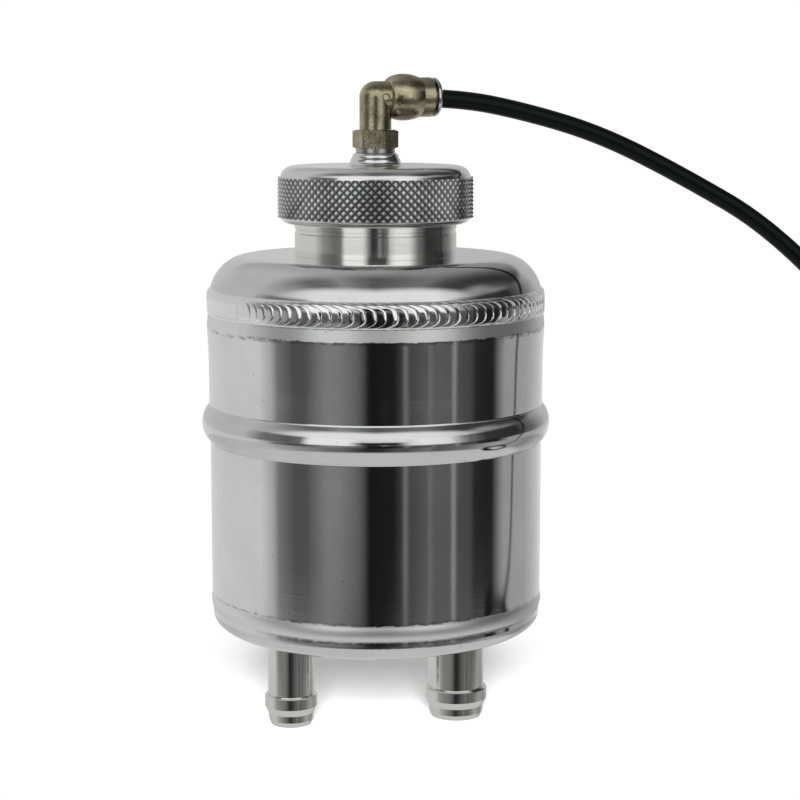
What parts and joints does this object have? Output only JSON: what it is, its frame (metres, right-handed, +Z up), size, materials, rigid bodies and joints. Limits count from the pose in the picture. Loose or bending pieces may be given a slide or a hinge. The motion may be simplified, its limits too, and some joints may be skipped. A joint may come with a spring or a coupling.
{
  "type": "power steering reservoir",
  "caption": "Welded aluminium fluid reservoir with hose barbs below, a knurled screw cap and a swivelling push-in vent elbow with a black tube.",
  "frame": {"origin": "on the tank's axis, at the plane of the hose barbs' free ends that it stands on", "axes": "+Z up along the tank's axis, +X to the right and -Y to the viewer, the larger feed barb at the right"},
  "size_m": [0.2874, 0.1274, 0.2158],
  "materials": {
    "tank_metal": "polished, with fine scratches round the tank",
    "weld_metal": "bright weld metal",
    "neck_metal": "turned, satin",
    "barb_metal": "turned, bright",
    "cap_metal": "turned and knurled, bright",
    "fitting_metal": "nickel plated, bright",
    "collar_metal": "nickel plated, bright",
    "washer_metal": "plain, satin",
    "cartridge_black": "moulded",
    "clip_steel": "spring steel",
    "seal_rubber": "moulded",
    "tube_black": "extruded, semi-gloss"
  },
  "bodies": {
    "tank": {"barrel": "tank_metal", "top_dome": "tank_metal", "base_plate": "tank_metal", "shoulder_weld": "weld_metal", "base_weld": "weld_metal", "filler_neck": "neck_metal", "neck_weld": "weld_metal", "feed_barb": "barb_metal", "feed_barb_weld": "weld_metal", "return_barb": "barb_metal", "return_barb_weld": "weld_metal", "return_standpipe": "barb_metal", "baffle_plate": "tank_metal"},
    "seal": {"cap_seal": "seal_rubber"},
    "cap": {"filler_cap": "cap_metal", "stud_washer": "washer_metal", "elbow_stud": "fitting_metal", "swivel_clip": "clip_steel", "stud_seal": "seal_rubber"},
    "elbow": {"elbow_body": "fitting_metal", "tube_seal": "seal_rubber", "grip_ring": "clip_steel", "collar_cartridge": "cartridge_black", "vent_tube": "tube_black", "vent_tube_coil": "tube_black"},
    "collar": {"release_collar": "collar_metal"}
  },
  "joints": [
    {"name": "cap_lift", "type": "slide", "parent": "tank", "child": "seal", "axis": [0, 0, 1], "range_m": [0, 0.018]},
    {"name": "cap_turn", "type": "hinge", "parent": "seal", "child": "cap", "pos_m": [0, 0, 0.175], "axis": [0, 0, 1], "range_deg": [0, 2160]},
    {"name": "elbow_swivel", "type": "hinge", "parent": "seal", "child": "elbow", "pos_m": [0, 0, 0.202], "axis": [0, 0, 1], "continuous": true},
    {"name": "collar_push", "type": "slide", "parent": "elbow", "child": "collar", "axis": [-0.9336, -0.3584, 0], "range_m": [0, 0.0006], "stiffness_N_per_m": 400}
  ],
  "couplings": [
    {"joint": "cap_lift", "follows": "cap_turn", "m_per_rad": 0.00047746}
  ]
}
